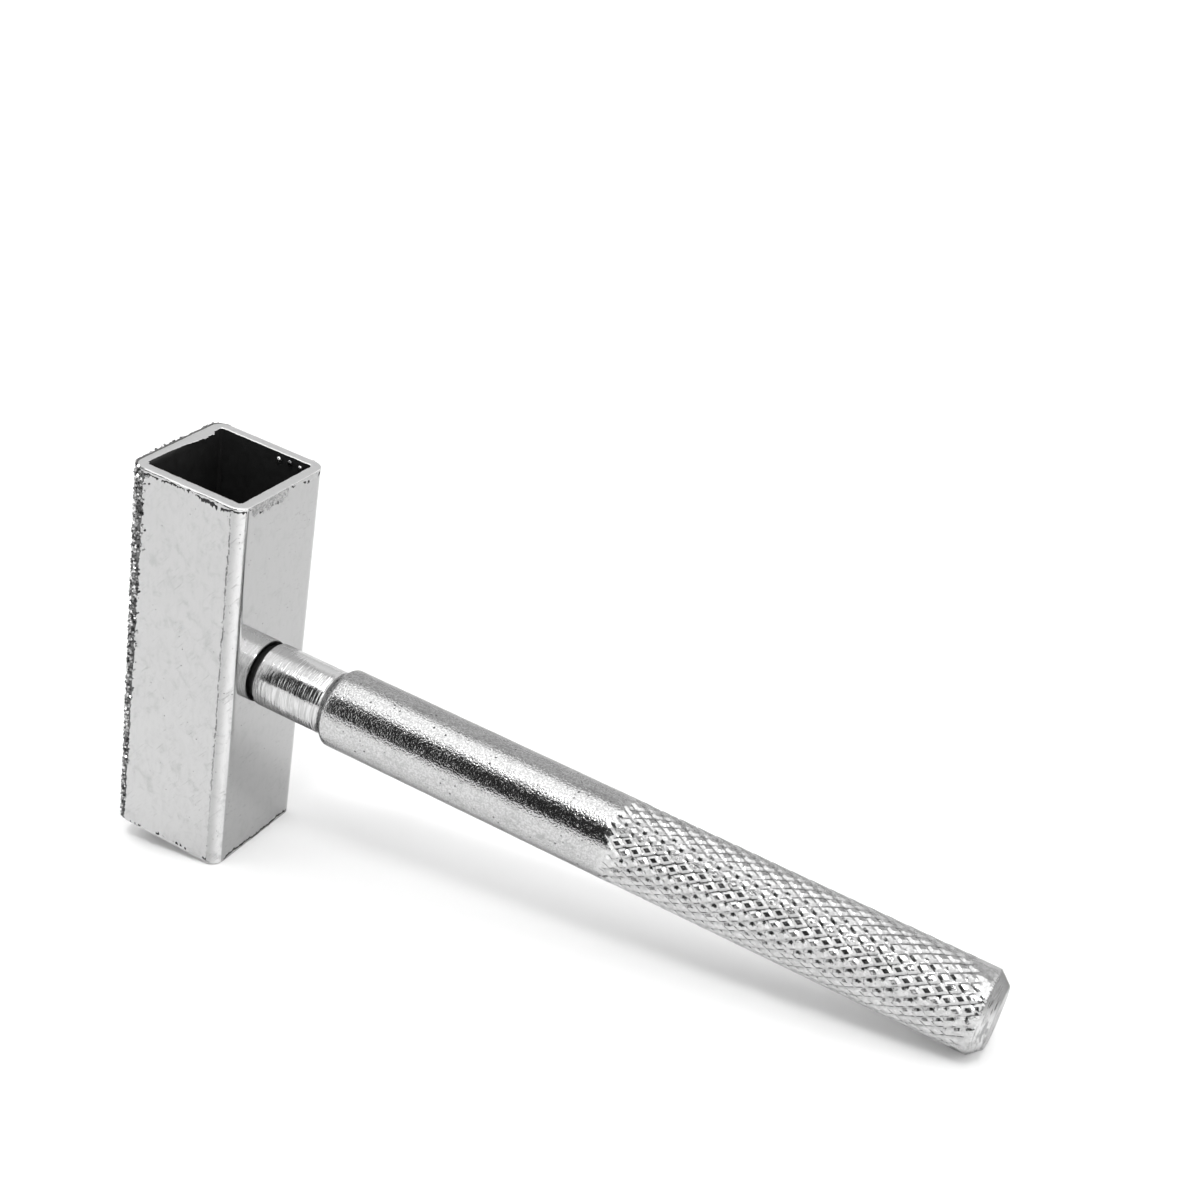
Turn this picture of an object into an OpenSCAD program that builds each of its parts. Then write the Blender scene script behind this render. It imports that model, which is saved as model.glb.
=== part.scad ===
// Hand-held diamond dresser for grinding wheels: a square tube head with a diamond layer on one face,
// riveted across the end of a round handle with a knurled grip.
// It lies as it rests on a table, on the head's lower edge and the handle's far end.
// Millimetres, Z up, the handle runs towards +X and Y is across the head.

/* [Head] */
// Outside width of the square tube
tube_w = 16; // [14:0.5:20]
// Length of the tube from rim to rim
tube_len = 52; // [40:1:70]
// Wall thickness of the tube
tube_wall = 1.2; // [0.8:0.1:1.8]
// Outside radius of the tube's long corners
corner_r = 1.6; // [0.6:0.1:3]
// Inside radius of the tube's long corners
inner_r = 0.4; // [0.2:0.1:1]

/* [Diamond layer] */
// Thickness of the diamond layer on the working face
layer_t = 0.55; // [0.3:0.05:1]
// Thickness of the layer where it thins out round the corners
wrap_t = 0.1; // [0.05:0.05:0.25]
// How far the layer runs back round each corner from the working face
wrap_back = 0.8; // [0.4:0.1:4]

/* [Joint] */
// Diameter of the handle's stud, which passes through the tube wall
stud_d = 6; // [4:0.25:6.25]
// Radial clearance between the stud and its hole
stud_clear = 0.05; // [0.02:0.01:0.2]
// Diameter of the peened head on the inner end of the stud
peen_d = 8; // [7.5:0.25:10]
// Height of the peened head
peen_h = 1.1; // [0.6:0.1:2]
// Width of the flat on top of the peened head
peen_top_d = 5; // [3:0.25:6.5]

/* [Handle] */
// Diameter of the smooth grip
rod_d = 10; // [9:0.25:12]
// Diameter of the shank between the grip and the head
shank_d = 8.2; // [7.5:0.1:8.8]
// Length of the shank from the head to the shoulder
shank_len = 10.1; // [4:0.1:25]
// Diameter of the thin neck that keeps the shank clear of the head
neck_d = 7; // [6.5:0.25:7.25]
// Length of that neck, which shows as a dark gap
neck_len = 0.5; // [0.2:0.05:0.7]
// Break on the shank's edge next to the neck
shank_break = 0.1; // [0.05:0.05:0.3]
// Length of the conical shoulder
shoulder_len = 1.1; // [0.4:0.1:4]
// Length of the smooth grip
grip_len = 38.8; // [15:0.2:60]
// Length of the knurled grip
knurl_len = 44.2; // [25:0.2:50]
// Length of the chamfer at the free end
end_len = 1.5; // [0.6:0.1:3]
// Diameter of the flat end face
end_d = 7.3; // [4:0.1:8]

/* [Knurl] */
// Grooves around the handle in each direction
knurl_starts = 22; // [16:1:26]
// Spacing of the diamonds along the handle
knurl_pitch = 2.33; // [1.9:0.01:3.2]
// Depth of the grooves
knurl_depth = 0.23; // [0.15:0.01:0.5]
// Share of each diamond's width that is left as its flat top
knurl_top = 0.45; // [0.25:0.05:0.65]
// How far the tops of the diamonds lie below the smooth grip
knurl_skim = 0.03; // [0.01:0.01:0.1]

/* [Hidden] */
$fn = 96;

rod_r = rod_d / 2;
end_r = end_d / 2;
hollow_w = tube_w - 2 * tube_wall;
over = 1;

// Stations along the handle, measured from the head's axis
face_x = tube_w / 2;
shoulder_x = face_x + shank_len;
grip_x = shoulder_x + shoulder_len;
knurl_x = grip_x + grip_len;
chamfer_x = knurl_x + knurl_len;
end_x = chamfer_x + end_len;
chamfer_run = end_len / (rod_r - end_r);

// Knurl rows: the tops of two neighbouring rows are half a diamond apart along and around the handle
row_step = knurl_pitch / 2;
turn_step = 360 / knurl_starts;
crest_r = rod_r - knurl_skim;
root_r = rod_r - knurl_depth;
rows_before = floor(knurl_len / row_step) + 2;
rows_after = floor(end_len / row_step) + 1;
last_row = rows_before + rows_after;

// Rest: the head's lower edge on the handle side and the lowest edge of the handle's end share the table
crest_end_x = chamfer_x + knurl_skim * chamfer_run;
lean_crest = atan2(tube_len / 2 - crest_r, crest_end_x - face_x);
lean_tip = atan2(tube_len / 2 - end_r, end_x - face_x);
lean = min(lean_crest, lean_tip);
rest_z = face_x * sin(lean) + tube_len / 2 * cos(lean);
low_x = -(face_x + layer_t) * cos(lean) - tube_len / 2 * sin(lean);
high_x = end_x * cos(lean) + end_r * sin(lean);
rest_x = -(low_x + high_x) / 2;

head_tube();
diamond_layer();
handle();

// Square tube, open at both ends, with one hole for the handle's stud
module head_tube() {
    color([0.78, 0.78, 0.79])
    at_rest()
    difference() {
        along_head() tube_outline();
        translate([0, 0, -tube_len / 2 - over])
        linear_extrude(tube_len + 2 * over) rounded_square(hollow_w, hollow_w, inner_r);
        translate([face_x - tube_wall - over, 0, 0])
        rotate([0, 90, 0])
        cylinder(r = stud_d / 2 + stud_clear, h = tube_wall + 2 * over);
    }
}

// Diamond grit in its bond, over the face away from the handle and thinning out round both corners
module diamond_layer() {
    layer_w = tube_w + 2 * wrap_t;
    layer_end = -face_x + wrap_back;
    color([0.33, 0.33, 0.34])
    at_rest()
    along_head()
    difference() {
        translate([-face_x - layer_t + layer_w / 2, 0]) rounded_square(layer_w, layer_w, corner_r + wrap_t);
        tube_outline();
        translate([layer_end, -layer_w]) square(2 * layer_w);
    }
}

// Handle, turned and knurled from one bar, with the stud that is peened over inside the tube
module handle() {
    color([0.7, 0.7, 0.71])
    at_rest()
    union() {
        turned([
            [0, face_x - tube_wall - peen_h],
            [peen_top_d / 2, face_x - tube_wall - peen_h],
            [peen_d / 2, face_x - tube_wall],
            [stud_d / 2, face_x - tube_wall],
            [stud_d / 2, face_x],
            [neck_d / 2, face_x],
            [neck_d / 2, face_x + neck_len],
            [shank_d / 2 - shank_break, face_x + neck_len],
            [shank_d / 2, face_x + neck_len + shank_break],
            [shank_d / 2, shoulder_x],
            [rod_r, grip_x],
            [rod_r, knurl_x],
            [0, knurl_x]
        ]);
        intersection() {
            knurl();
            turned([
                [0, knurl_x - 3 * row_step],
                [rod_r + over, knurl_x - 3 * row_step],
                [rod_r + over, chamfer_x - over * chamfer_run],
                [end_r, end_x],
                [0, end_x]
            ]);
        }
    }
}

// Bar with crossed grooves. Every diamond is a low pyramid with a flat top between four groove crossings.
// A row holds, for each diamond: its crossing, its two side tips, its front tip and its back tip.
module knurl() {
    function row_x(k) = chamfer_x + (k - rows_before) * row_step;
    function top_a(k, m) = -90 + (m + ((k + rows_before) % 2) / 2) * turn_step;
    function spot(x, r, a) = [x, r * cos(a), r * sin(a)];
    function id(k, m, kind) = (k * knurl_starts + (m + knurl_starts) % knurl_starts) * 5 + kind;
    function shift(k) = (k + rows_before) % 2 == 0 ? -1 : 0;

    tip_x = knurl_top * row_step;
    tip_a = knurl_top * turn_step / 2;
    rim = 3 * knurl_starts;
    hub = (last_row + 1) * knurl_starts * 5;

    points = concat(
        [for (k = [0 : last_row]) for (m = [0 : knurl_starts - 1]) for (p = [
            spot(row_x(k), root_r, top_a(k, m) + turn_step / 2),
            spot(row_x(k), crest_r, top_a(k, m) - tip_a),
            spot(row_x(k), crest_r, top_a(k, m) + tip_a),
            spot(row_x(k) + tip_x, crest_r, top_a(k, m)),
            spot(row_x(k) - tip_x, crest_r, top_a(k, m))
        ]) p],
        [[row_x(0), 0, 0], [row_x(last_row), 0, 0]]
    );

    front_half = [for (k = [0 : last_row - 1]) for (m = [0 : knurl_starts - 1]) for (f = [
        [id(k, m, 3), id(k + 1, m + shift(k), 0), id(k, m, 0)],
        [id(k, m, 3), id(k, m, 0), id(k, m, 2)],
        [id(k, m, 1), id(k, m - 1, 0), id(k + 1, m + shift(k), 0)],
        [id(k, m, 1), id(k + 1, m + shift(k), 0), id(k, m, 3)],
        [id(k, m, 3), id(k, m, 2), id(k, m, 1)]
    ]) f];

    back_half = [for (k = [1 : last_row]) for (m = [0 : knurl_starts - 1]) for (f = [
        [id(k, m, 2), id(k, m, 0), id(k - 1, m + shift(k), 0)],
        [id(k, m, 2), id(k - 1, m + shift(k), 0), id(k, m, 4)],
        [id(k, m, 4), id(k - 1, m + shift(k), 0), id(k, m - 1, 0)],
        [id(k, m, 4), id(k, m - 1, 0), id(k, m, 1)],
        [id(k, m, 4), id(k, m, 1), id(k, m, 2)]
    ]) f];

    function ring(k) = [for (m = [0 : knurl_starts - 1]) for (kind = [1, 2, 0]) id(k, m, kind)];
    first = ring(0);
    last = ring(last_row);
    caps = concat(
        [for (i = [0 : rim - 1]) [hub, first[i], first[(i + 1) % rim]]],
        [for (i = [0 : rim - 1]) [hub + 1, last[(i + 1) % rim], last[i]]]
    );

    polyhedron(points, concat(front_half, back_half, caps));
}

// Solid turned about the handle's axis, from [radius, station] points
module turned(profile) {
    rotate([0, 90, 0]) rotate_extrude() polygon(profile);
}

// Outside of the tube, seen along the head
module tube_outline() {
    rounded_square(tube_w, tube_w, corner_r);
}

module rounded_square(wx, wy, r) {
    square([wx - 2 * r, wy], center = true);
    square([wx, wy - 2 * r], center = true);
    for (sx = [-1, 1]) for (sy = [-1, 1])
        translate([sx * (wx / 2 - r), sy * (wy / 2 - r)]) circle(r);
}

// The head's full length, centred on the handle
module along_head() {
    translate([0, 0, -tube_len / 2]) linear_extrude(tube_len) children();
}

// From the upright head with a level handle to the way the tool lies
module at_rest() {
    translate([rest_x, 0, rest_z]) rotate([0, lean, 0]) children();
}
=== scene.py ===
"""Looks of a hand-held diamond dresser: plated square tube, diamond grit face and knurled handle."""
import math

import bmesh
import bpy
import numpy as np
from mathutils import Matrix, Vector


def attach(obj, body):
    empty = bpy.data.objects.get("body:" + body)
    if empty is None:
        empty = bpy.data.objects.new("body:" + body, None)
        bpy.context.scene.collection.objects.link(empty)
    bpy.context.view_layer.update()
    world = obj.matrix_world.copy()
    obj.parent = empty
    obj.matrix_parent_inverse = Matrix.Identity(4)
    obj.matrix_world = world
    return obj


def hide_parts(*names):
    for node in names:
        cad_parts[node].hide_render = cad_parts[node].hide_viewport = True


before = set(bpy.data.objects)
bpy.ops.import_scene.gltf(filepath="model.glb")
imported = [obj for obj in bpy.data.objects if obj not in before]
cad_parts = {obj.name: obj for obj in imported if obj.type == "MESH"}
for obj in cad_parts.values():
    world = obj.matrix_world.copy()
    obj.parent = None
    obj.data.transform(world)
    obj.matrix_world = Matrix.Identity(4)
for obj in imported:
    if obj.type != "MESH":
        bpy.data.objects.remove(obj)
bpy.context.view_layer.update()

# Sizes in millimetres, as in the part. The head stands along Z, the handle runs along X
# and the head's centre is the origin.
TUBE_W = 16.0
TUBE_LEN = 52.0
TUBE_WALL = 1.2
CORNER_R = 1.6
INNER_R = 0.4
LAYER_T = 0.55
WRAP_T = 0.1
STUD_R = 3.0
STUD_CLEAR = 0.05
PEEN_R = 4.0
PEEN_TOP_R = 2.5
PEEN_H = 1.1
ROD_R = 5.0
SHANK_R = 4.1
SHANK_LEN = 10.1
SHANK_BREAK = 0.1
NECK_R = 3.5
NECK_LEN = 0.5
SHOULDER_LEN = 1.1
GRIP_LEN = 38.8
KNURL_LEN = 44.2
END_LEN = 1.5
END_R = 3.65
KNURL_STARTS = 22
KNURL_PITCH = 2.33
KNURL_DEPTH = 0.23
KNURL_SKIM = 0.03
MM = 0.001

# Stations that follow from them
RIM_Z = TUBE_LEN / 2
FACE_X = TUBE_W / 2
FLAT = FACE_X - CORNER_R
ARC = CORNER_R * math.pi / 2
SHOULDER_X = FACE_X + SHANK_LEN
GRIP_X = SHOULDER_X + SHOULDER_LEN
KNURL_X = GRIP_X + GRIP_LEN
CHAMFER_X = KNURL_X + KNURL_LEN
END_X = CHAMFER_X + END_LEN
CHAMFER_RUN = END_LEN / (ROD_R - END_R)

# Rest pose: the head's lower edge and the handle's end share the table
CREST_R = ROD_R - KNURL_SKIM
LEAN = min(
    math.atan2(RIM_Z - CREST_R, CHAMFER_X + KNURL_SKIM * CHAMFER_RUN - FACE_X),
    math.atan2(RIM_Z - END_R, END_X - FACE_X),
)
COS_L, SIN_L = math.cos(LEAN), math.sin(LEAN)
REST_Z = FACE_X * SIN_L + RIM_Z * COS_L
REST_X = -(END_X * COS_L + END_R * SIN_L - (FACE_X + LAYER_T) * COS_L - RIM_Z * SIN_L) / 2


def at_rest(points):
    """Points in the tool's own frame, in millimetres, to the shared frame, in metres."""
    p = np.asarray(points, float)
    x = REST_X + COS_L * p[:, 0] + SIN_L * p[:, 2]
    z = REST_Z - SIN_L * p[:, 0] + COS_L * p[:, 2]
    return np.stack([x, p[:, 1], z], 1) * MM


def ripple(s, seed, lengths, power=1.0):
    """Smooth uneven curve over s, about -1 to 1, from sines of the given wavelengths."""
    rng = np.random.RandomState(seed)
    s = np.asarray(s, float)
    total = np.zeros_like(s)
    weight = 0.0
    for length in lengths:
        a = length ** power
        total += a * np.sin(2 * np.pi * (s / length * rng.uniform(0.85, 1.15) + rng.uniform()))
        weight += a
    return total / (0.7 * weight)


def smooth(lo, hi, v):
    """0 before lo, 1 past hi, with a soft step between them."""
    t = np.clip((np.asarray(v, float) - lo) / (hi - lo), 0, 1)
    return t * t * (3 - 2 * t)


def quad_band(a, b, n):
    """Quads between two closed rings of n points, which start at points a and b."""
    return [(a + i, a + (i + 1) % n, b + (i + 1) % n, b + i) for i in range(n)]


def add_object(name, data):
    obj = bpy.data.objects.new(name, data)
    bpy.context.scene.collection.objects.link(obj)
    return obj


def new_piece(name, points, faces, materials, slots, sharp_deg=35.0):
    """Mesh object in the shared frame, smooth except along edges sharper than the angle."""
    mesh = bpy.data.meshes.new(name)
    mesh.from_pydata(at_rest(points).tolist(), [], [list(map(int, f)) for f in faces])
    for m in materials:
        mesh.materials.append(m)
    mesh.polygons.foreach_set("material_index", np.asarray(slots, np.int32))
    mesh.polygons.foreach_set("use_smooth", np.ones(len(mesh.polygons), bool))
    mesh.validate()
    mesh.set_sharp_from_angle(angle=math.radians(sharp_deg))
    return add_object(name, mesh)


def mark_points(obj, name, values):
    """Stores one number for each point of a piece, which its material reads."""
    layer = obj.data.attributes.new(name, "FLOAT", "POINT")
    layer.data.foreach_set("value", np.asarray(values, np.float32))


def grey(v):
    return (v, v, v, 1.0)


class Nodes:
    """Short way to write the nodes of a material or a world, which end in one shader."""

    def __init__(self, owner, shader):
        owner.use_nodes = True
        self.owner = owner
        self.nodes = owner.node_tree.nodes
        self.links = owner.node_tree.links
        self.shader = self.nodes[shader]

    def feed(self, socket, value):
        """Links another socket, or sets a plain value."""
        if hasattr(value, "links"):
            self.links.new(value, socket)
        else:
            socket.default_value = value

    def set(self, **values):
        """Shader sockets by name, with spaces written as underscores."""
        for key, value in values.items():
            self.feed(self.shader.inputs[key.replace("_", " ")], value)

    def split(self, vector):
        node = self.nodes.new("ShaderNodeSeparateXYZ")
        self.feed(node.inputs[0], vector)
        return node.outputs

    def math(self, operation, a, b=0.0):
        node = self.nodes.new("ShaderNodeMath")
        node.operation = operation
        self.feed(node.inputs[0], a)
        self.feed(node.inputs[1], b)
        return node.outputs[0]

    def chain(self, operation, first, *rest):
        for value in rest:
            first = self.math(operation, first, value)
        return first

    def times(self, *values):
        return self.chain("MULTIPLY", *values)

    def plus(self, *values):
        return self.chain("ADD", *values)

    def most(self, *values):
        return self.chain("MAXIMUM", *values)

    def minus(self, a, b):
        return self.math("SUBTRACT", a, b)

    def apart(self, value, centre):
        """Distance of a value from a centre."""
        return self.math("ABSOLUTE", self.minus(value, centre))

    def between(self, fac, a, b):
        """Value a where fac is 0, b where it is 1."""
        return self.plus(self.times(fac, b), self.times(self.minus(1.0, fac), a))

    def remap(self, value, lo, hi, to_lo=0.0, to_hi=1.0):
        """Soft step from to_lo at lo to to_hi at hi."""
        node = self.nodes.new("ShaderNodeMapRange")
        node.interpolation_type = "SMOOTHSTEP"
        self.feed(node.inputs["Value"], value)
        node.inputs["From Min"].default_value = lo
        node.inputs["From Max"].default_value = hi
        node.inputs["To Min"].default_value = to_lo
        node.inputs["To Max"].default_value = to_hi
        return node.outputs["Result"]


class Skin(Nodes):
    """A material's nodes. Points are in the tool's own frame, in millimetres."""

    def __init__(self, name):
        super().__init__(bpy.data.materials.new(name), "Principled BSDF")
        coord = self.nodes.new("ShaderNodeTexCoord")
        mapping = self.nodes.new("ShaderNodeMapping")
        mapping.vector_type = "TEXTURE"
        mapping.inputs["Location"].default_value = (REST_X * MM, 0, REST_Z * MM)
        mapping.inputs["Rotation"].default_value = (0, LEAN, 0)
        mapping.inputs["Scale"].default_value = (MM, MM, MM)
        self.links.new(coord.outputs["Object"], mapping.inputs["Vector"])
        self.point = mapping.outputs["Vector"]

    def stretched(self, sx, sy, sz):
        node = self.nodes.new("ShaderNodeVectorMath")
        node.operation = "MULTIPLY"
        self.feed(node.inputs[0], self.point)
        node.inputs[1].default_value = (sx, sy, sz)
        return node.outputs["Vector"]

    def slanted(self, degrees, sx, sz):
        """Point turned about Y and then stretched."""
        node = self.nodes.new("ShaderNodeMapping")
        node.vector_type = "TEXTURE"
        self.feed(node.inputs["Vector"], self.point)
        node.inputs["Rotation"].default_value = (0, math.radians(degrees), 0)
        node.inputs["Scale"].default_value = (1 / sx, 1.0, 1 / sz)
        return node.outputs["Vector"]

    def noise(self, scale, detail=3.0, rough=0.55, vector=None, warp=0.0):
        node = self.nodes.new("ShaderNodeTexNoise")
        self.feed(node.inputs["Vector"], vector or self.point)
        node.inputs["Scale"].default_value = scale
        node.inputs["Detail"].default_value = detail
        node.inputs["Roughness"].default_value = rough
        node.inputs["Distortion"].default_value = warp
        return node.outputs["Fac"]

    def cells(self, scale):
        """Distance from the nearest of scattered spots."""
        node = self.nodes.new("ShaderNodeTexVoronoi")
        self.feed(node.inputs["Vector"], self.point)
        node.inputs["Scale"].default_value = scale
        return node.outputs["Distance"]

    def attribute(self, name):
        node = self.nodes.new("ShaderNodeAttribute")
        node.attribute_name = name
        return node.outputs["Fac"]

    def blend(self, fac, a, b):
        """Grey or colour between a and b."""
        node = self.nodes.new("ShaderNodeMix")
        node.data_type = "RGBA"
        self.feed(node.inputs["Factor"], fac)
        for socket, value in ((node.inputs[6], a), (node.inputs[7], b)):
            self.feed(socket, value if hasattr(value, "links") else grey(value))
        return node.outputs[2]

    def relief(self, height, microns, strength=1.0):
        """Bump of the given full height."""
        node = self.nodes.new("ShaderNodeBump")
        node.inputs["Strength"].default_value = strength
        node.inputs["Distance"].default_value = microns * 1e-6
        self.feed(node.inputs["Height"], height)
        return node.outputs["Normal"]

    def mottled(self, pattern, tones, dull, microns, strength, **rest):
        """Colour, roughness and bump from one pattern. Gives the material."""
        self.set(
            Base_Color=self.blend(pattern, *tones),
            Roughness=self.remap(pattern, 0.3, 0.7, *dull),
            Normal=self.relief(pattern, microns, strength),
            **rest,
        )
        return self.owner


PLATING_TONE = 0.50
# Painted shade: the handle's side of the tube gets a darker tone
HANDLE_SIDE_SHADED_TONE = 0.42
# Painted highlight across the front corner, from a shaded tone by the plain side to a bright one by the
# handle's side
STRIP_SHADED_TONE = 0.45
STRIP_HIGHLIGHT_TONE = 0.76
EDGE_TINT = 0.5


def plated_seam(g, x, y, z, fine):
    """Dark seam with blotches where the plain side meets the front corner, weaker towards the lower end."""
    wander = g.plus(x, g.remap(g.noise(0.8, 3), 0.3, 0.7, -0.10, 0.10))
    off_seam = g.apart(wander, FLAT)
    line = g.times(g.remap(off_seam, 0.15, 0.04), g.remap(g.noise(1.7, 4, 0.7), 0.40, 0.54))
    blotch = g.times(g.remap(off_seam, 0.42, 0.12), g.remap(fine, 0.58, 0.66))
    front = g.remap(y, -FACE_X + 0.9, -FACE_X + 0.3)
    return g.times(g.most(line, blotch), front, g.remap(z, -20.0, -8.0, 0.3, 1.0))


def plated_specks(g, y, z, fine, turn, strip, handle_side):
    """Dark specks low on the front corner, on the handle's side at the upper right and on the strip."""
    specks = g.times(g.remap(g.cells(2.4), 0.30, 0.18), g.remap(fine, 0.52, 0.60))
    low_corner = g.times(g.remap(g.apart(turn, 0.0), 0.30, 0.10), g.remap(z, -8.0, -12.0))
    upper_right = g.times(g.remap(y, 3.2, 5.0), g.remap(z, RIM_Z - 1.6, RIM_Z - 1.0), handle_side)
    on_strip = g.times(strip, g.remap(g.noise(0.35, 2), 0.52, 0.60))
    return g.times(specks, g.most(low_corner, upper_right, on_strip))


def rim_smear(g, y, z, fine, handle_side):
    """Grey smear, and its dark edge, where the upper rim was ground over the handle's side."""
    reach = g.plus(z, g.remap(g.noise(0.9, 4, 0.65), 0.3, 0.7, -0.55, 0.55))
    span = g.times(g.remap(y, -FLAT, -FLAT + 0.3), g.remap(g.plus(y, fine), 1.3, 0.6), handle_side)
    smear = g.times(g.remap(reach, RIM_Z - 1.6, RIM_Z - 1.15), span)
    off_edge = g.apart(reach, RIM_Z - 1.35)
    edge = g.times(g.remap(off_edge, 0.14, 0.04), span, g.remap(fine, 0.46, 0.60))
    return smear, edge


def plated_material():
    """Bright plating on the tube: haze, stains, scratches along it, pits and the marks of wear, with
    painted light: the handle's side painted darker, a painted highlight across the front corner beside a
    painted dark reflection line, and lighter towards the lower end.
    """
    g = Skin("plated_tube")
    x, y, z = g.split(g.point)
    haze = g.noise(0.22, 4, 0.6)
    stain_and_shade = g.remap(g.noise(0.5, 6, 0.68, warp=0.5), 0.50, 0.68)
    cloud = g.remap(g.noise(1.6, 5, 0.7, vector=g.stretched(1.0, 1.0, 0.35)), 0.45, 0.75)
    pit = g.times(g.remap(g.cells(1.0), 0.11, 0.05), g.remap(g.noise(0.4, 2), 0.50, 0.58))
    scratch = g.noise(1.0, 3, 0.6, vector=g.stretched(9.0, 9.0, 0.25))
    scrape = g.noise(1.0, 3, 0.6, vector=g.slanted(38, 7.0, 0.35))
    scrape = g.times(g.remap(scrape, 0.58, 0.68), g.remap(g.noise(0.3, 3), 0.46, 0.58))
    fine = g.noise(2.6, 4, 0.7)

    # Angle round the front corner: 0 where the handle's side begins, a quarter turn at the plain side
    turn = g.math("ARCTAN2", g.minus(g.times(y, -1.0), FLAT), g.minus(x, FLAT))
    strip = g.times(g.remap(turn, 0.26, 0.36), g.remap(turn, 1.64, 1.46))
    # Painted highlight: the front corner's colour brightens from the plain side towards the handle's side
    strip_highlight = g.blend(g.remap(turn, 1.40, 0.50), STRIP_SHADED_TONE, STRIP_HIGHLIGHT_TONE)
    # Painted reflection: a thin dark line where the corner meets the handle's side, fading out lower down
    reflected_dark_line = g.times(g.remap(g.apart(turn, 0.27), 0.11, 0.04), g.remap(z, -2.0, 5.0), 0.8)
    handle_side = g.remap(x, FACE_X - 0.12, FACE_X - 0.02)
    smear, smear_edge = rim_smear(g, y, z, fine, handle_side)
    seam = plated_seam(g, x, y, z, fine)
    specks = plated_specks(g, y, z, fine, turn, strip, handle_side)
    # Marks, together with the painted dark reflection line
    marks = g.most(seam, specks, smear_edge, reflected_dark_line)

    tone = g.blend(haze, PLATING_TONE * 0.95, PLATING_TONE * 1.06)
    # Painted light: the plating is lighter towards the lower end
    tone = g.blend(g.remap(z, 20.0, -RIM_Z, 0.0, 0.16), tone, 0.75)
    # Painted shade on the handle's side
    tone = g.blend(handle_side, tone, HANDLE_SIDE_SHADED_TONE)
    tone = g.blend(strip, tone, strip_highlight)
    tone = g.blend(g.times(cloud, 0.20), tone, 0.30)
    tone = g.blend(g.times(stain_and_shade, 0.36), tone, 0.34)
    tone = g.blend(g.times(smear, 0.8), tone, g.blend(g.remap(fine, 0.35, 0.65), 0.16, 0.46))
    tone = g.blend(g.times(scrape, 0.5), tone, 0.26)
    tone = g.blend(g.times(marks, 0.85), tone, 0.09)
    dull = g.plus(g.remap(haze, 0.3, 0.7, 0.12, 0.18), g.times(stain_and_shade, 0.12))
    dull = g.times(dull, g.remap(handle_side, 0.0, 1.0, 1.0, 0.55))
    dull = g.plus(dull, g.times(smear, 0.25))
    height = g.minus(scratch, g.times(g.most(pit, marks), 6.0))
    g.set(
        Base_Color=g.blend(pit, tone, 0.10),
        Metallic=1.0,
        Roughness=dull,
        Normal=g.relief(height, 1.4, 0.5),
    )
    return g.owner


def crease_shade_material():
    """Near-black painted shade in the crease under the burr, along the lower edge the tool stands on and in
    the gap at the shank.
    """
    g = Skin("dark_grime")
    return g.mottled(g.noise(5.0, 4, 0.6), (0.012, 0.05), (0.5, 0.75), 20.0, 0.6, Specular_IOR_Level=0.2)


def rim_material():
    """Ground end of the tube: brighter and duller than the plating, with fine grinding lines."""
    g = Skin("ground_rim")
    lines = g.noise(1.0, 3, 0.6, vector=g.stretched(1.2, 14.0, 3.0))
    return g.mottled(lines, (0.60, 0.80), (0.30, 0.46), 14.0, 0.8, Metallic=1.0)


def scale_material():
    """Bare black scale inside the tube."""
    g = Skin("black_scale")
    mottle = g.noise(0.9, 5, 0.65)
    return g.mottled(mottle, (0.008, 0.022), (0.55, 0.8), 60.0, 0.6, Specular_IOR_Level=0.25)


def bond_material():
    """Dull plated bond between the grains."""
    g = Skin("grit_bond")
    return g.mottled(g.noise(2.5, 4, 0.6), (0.10, 0.24), (0.45, 0.6), 60.0, 0.8, Metallic=1.0)


def bead_material(name, tone):
    """Droplet of plating, lit or with painted shade: the same material in a brighter and a darker copy."""
    g = Skin(name)
    return g.mottled(g.noise(4.0, 3, 0.6), (tone * 0.8, tone), (0.18, 0.30), 12.0, 0.6, Metallic=1.0)


def grain_material():
    """Plated diamond grains, from dark to bright grain by grain."""
    g = Skin("diamond_grains")
    shade = g.attribute("grain_shade")
    frost = g.noise(7.0, 3, 0.6)
    g.set(
        Base_Color=g.blend(shade, 0.05, 0.85),
        Metallic=1.0,
        Roughness=g.plus(g.remap(shade, 0.0, 1.0, 0.36, 0.2), g.times(frost, 0.12)),
        Normal=g.relief(frost, 12.0, 0.6),
    )
    return g.owner


def shank_material():
    """Turned surface: rings that break off part of the way round, with painted highlight making the skin
    bright on top.
    """
    g = Skin("turned_shank")
    rings = g.noise(1.0, 1, 0.5, vector=g.stretched(6.5, 0.4, 0.4), warp=0.1)
    fine = g.noise(1.0, 1, 0.5, vector=g.stretched(8.0, 1.8, 1.8))
    peel = g.noise(3.6, 1, 0.5)
    smear = g.remap(g.noise(0.6, 4, 0.6, vector=g.stretched(1.4, 0.6, 0.6)), 0.48, 0.72)
    height = g.plus(rings, g.times(g.plus(fine, peel), 0.35))
    tone = g.blend(g.remap(rings, 0.38, 0.62), 0.46, 0.66)
    tone = g.blend(g.times(smear, 0.6), tone, 0.38)
    # Painted highlight: the colour turns bright on the upper side
    top_highlight = g.remap(g.split(g.point)[2], 1.7, 2.8)
    g.set(
        Base_Color=g.blend(top_highlight, tone, 0.88),
        Metallic=1.0,
        Specular_Tint=grey(EDGE_TINT),
        Roughness=g.remap(rings, 0.3, 0.7, 0.10, 0.20),
        Normal=g.relief(height, 30.0),
    )
    return g.owner


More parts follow.
